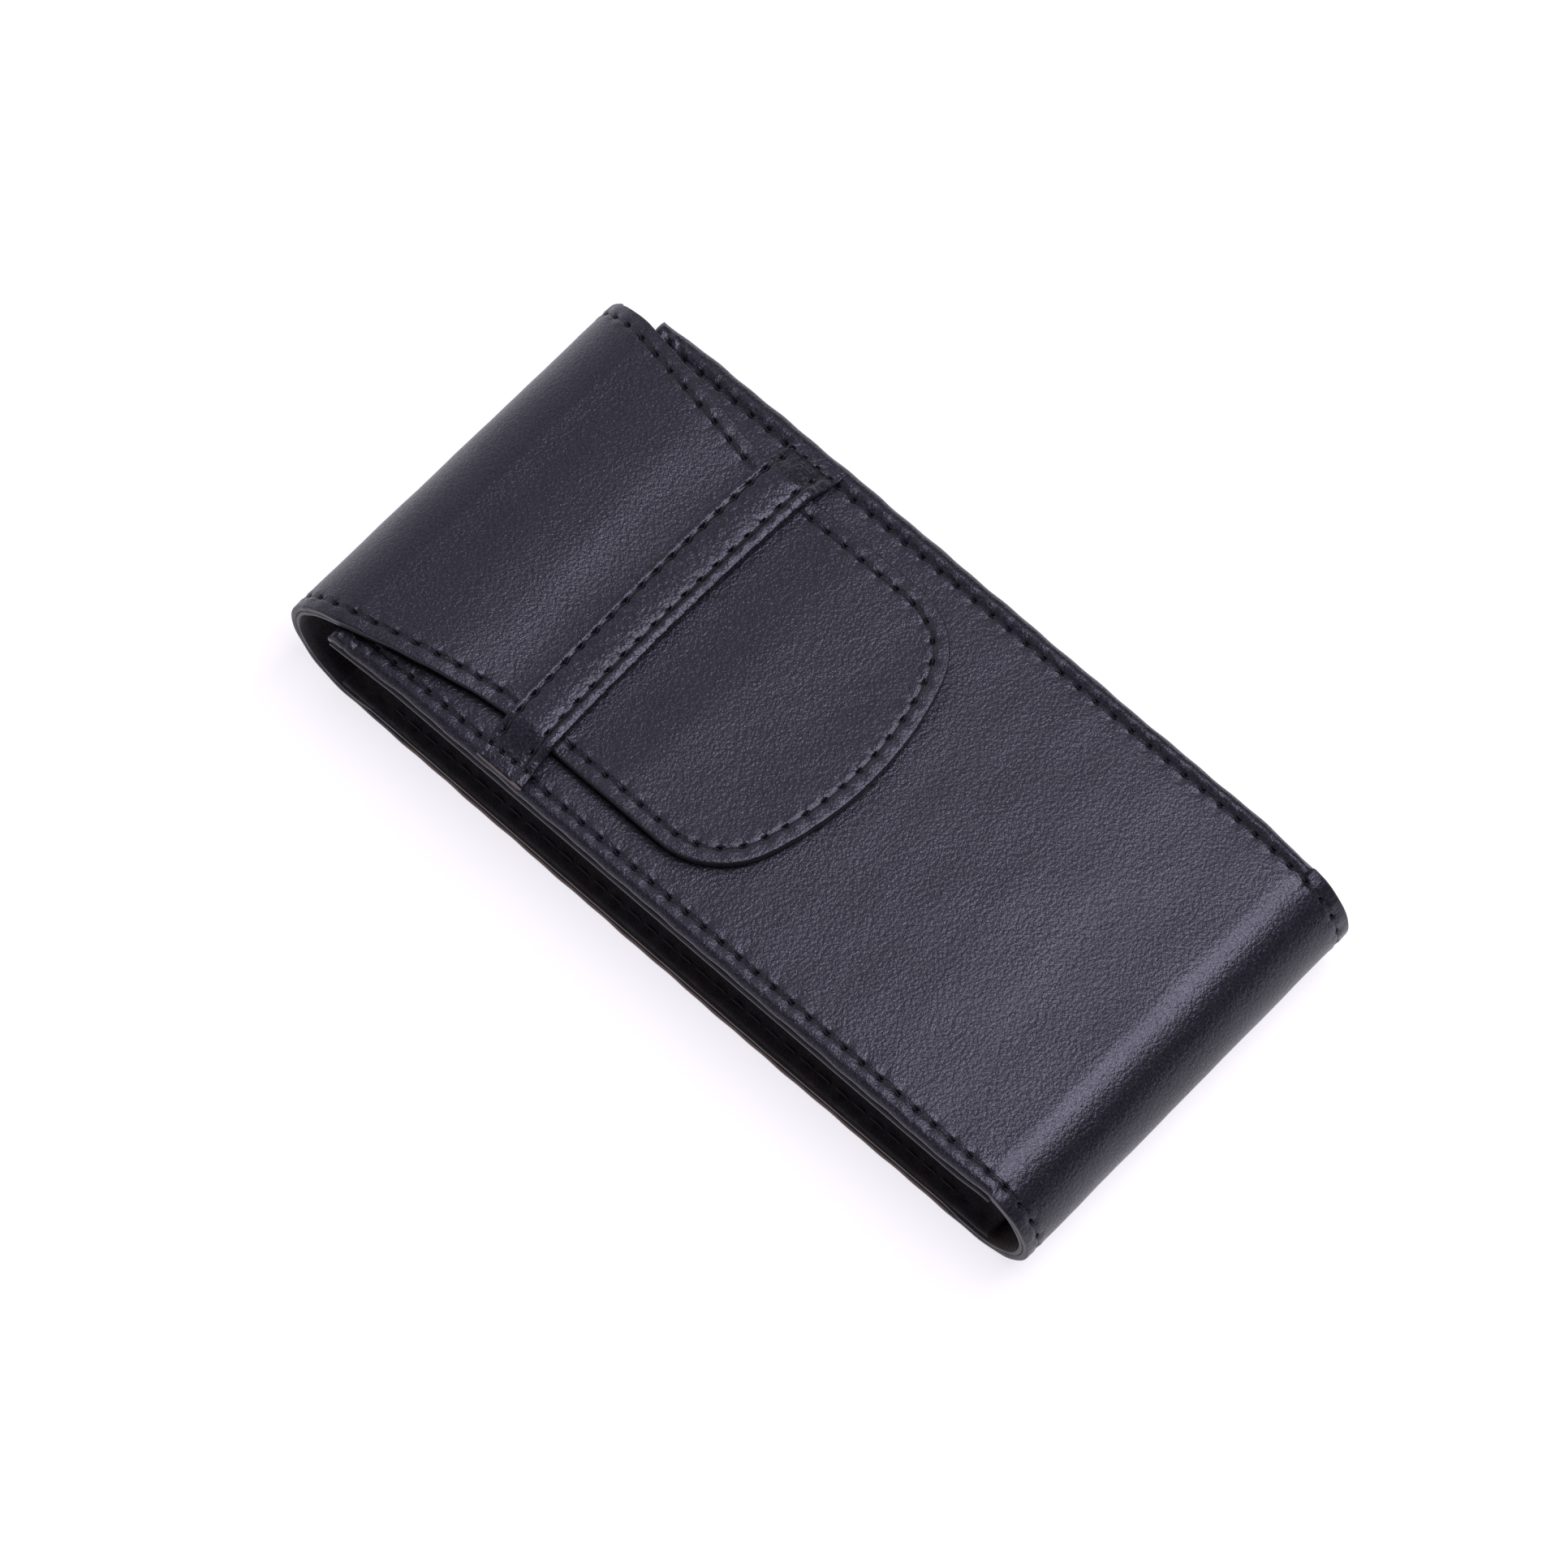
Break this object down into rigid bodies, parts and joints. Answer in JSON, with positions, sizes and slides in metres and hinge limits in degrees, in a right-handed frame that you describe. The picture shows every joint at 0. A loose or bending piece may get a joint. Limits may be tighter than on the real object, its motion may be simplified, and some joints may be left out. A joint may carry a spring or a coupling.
{
  "type": "leather tuck-flap pouch",
  "caption": "Slim soft leather pouch with bellows sides, a fold-over flap and a round tongue that tucks under a stitched keeper strap.",
  "frame": {"origin": "centre of the overall box, on the back panel's outer face", "axes": "+Z out of the front panel, +Y towards the mouth and the flap's bend, +X across the pouch"},
  "size_m": [0.076, 0.16, 0.0272],
  "materials": {
    "body_leather": "fine pebble grain, semi-matt",
    "bend_lower_leather": "fine pebble grain, semi-matt",
    "bend_upper_leather": "fine pebble grain, semi-matt",
    "flap_leather": "fine pebble grain, semi-matt",
    "tongue_leather": "fine pebble grain, semi-matt",
    "strap_leather": "fine pebble grain, semi-matt",
    "strap_backing": "fine pebble grain, semi-matt",
    "body_lining": "suede",
    "bend_lower_lining": "suede",
    "bend_upper_lining": "suede",
    "flap_lining": "suede",
    "tongue_lining": "suede",
    "left_gusset": "suede",
    "right_gusset": "suede",
    "front_padding": "felt",
    "back_stiffener": "leatherboard",
    "body_left_stitching": "waxed thread",
    "body_right_stitching": "waxed thread",
    "strap_lower_stitching": "waxed thread",
    "strap_upper_stitching": "waxed thread",
    "strap_left_end_stitching": "waxed thread",
    "strap_right_end_stitching": "waxed thread",
    "bend_lower_left_stitching": "waxed thread",
    "bend_lower_right_stitching": "waxed thread",
    "bend_upper_left_stitching": "waxed thread",
    "bend_upper_right_stitching": "waxed thread",
    "flap_left_stitching": "waxed thread",
    "flap_right_stitching": "waxed thread",
    "tongue_stitching": "waxed thread"
  },
  "bodies": {
    "body": {"body_leather": "body_leather", "body_lining": "body_lining", "front_padding": "front_padding", "back_stiffener": "back_stiffener", "left_gusset": "left_gusset", "right_gusset": "right_gusset", "strap_leather": "strap_leather", "strap_backing": "strap_backing", "strap_lower_stitching": "strap_lower_stitching", "strap_upper_stitching": "strap_upper_stitching", "strap_left_end_stitching": "strap_left_end_stitching", "strap_right_end_stitching": "strap_right_end_stitching", "body_left_stitching": "body_left_stitching", "body_right_stitching": "body_right_stitching"},
    "bend_lower": {"bend_lower_leather": "bend_lower_leather", "bend_lower_lining": "bend_lower_lining", "bend_lower_left_stitching": "bend_lower_left_stitching", "bend_lower_right_stitching": "bend_lower_right_stitching"},
    "bend_upper": {"bend_upper_leather": "bend_upper_leather", "bend_upper_lining": "bend_upper_lining", "bend_upper_left_stitching": "bend_upper_left_stitching", "bend_upper_right_stitching": "bend_upper_right_stitching"},
    "flap": {"flap_leather": "flap_leather", "flap_lining": "flap_lining", "flap_left_stitching": "flap_left_stitching", "flap_right_stitching": "flap_right_stitching"},
    "tongue": {"tongue_leather": "tongue_leather", "tongue_lining": "tongue_lining", "tongue_stitching": "tongue_stitching"}
  },
  "joints": [
    {"name": "bend_lower_fold", "type": "hinge", "parent": "body", "child": "bend_lower", "pos_m": [0, 0.0737, 0.00169], "axis": [-1, 0, 0], "range_deg": [0, 60]},
    {"name": "bend_upper_fold", "type": "hinge", "parent": "bend_lower", "child": "bend_upper", "pos_m": [0, 0.08, 0.0126], "axis": [-1, 0, 0], "range_deg": [0, 60]},
    {"name": "flap_swing", "type": "hinge", "parent": "bend_upper", "child": "flap", "pos_m": [0, 0.0737, 0.02351], "axis": [-1, 0, 0], "range_deg": [0, 60], "deforming": ["strap_leather", "strap_backing", "strap_lower_stitching", "strap_upper_stitching", "strap_left_end_stitching", "strap_right_end_stitching"]},
    {"name": "tongue_lift", "type": "hinge", "parent": "flap", "child": "tongue", "pos_m": [0, 0.0273, 0.0252], "axis": [-1, 0, 0], "range_deg": [0, 35]}
  ],
  "couplings": [
    {"joint": "bend_lower_fold", "follows": "flap_swing", "ratio": 1},
    {"joint": "bend_upper_fold", "follows": "flap_swing", "ratio": 1}
  ]
}
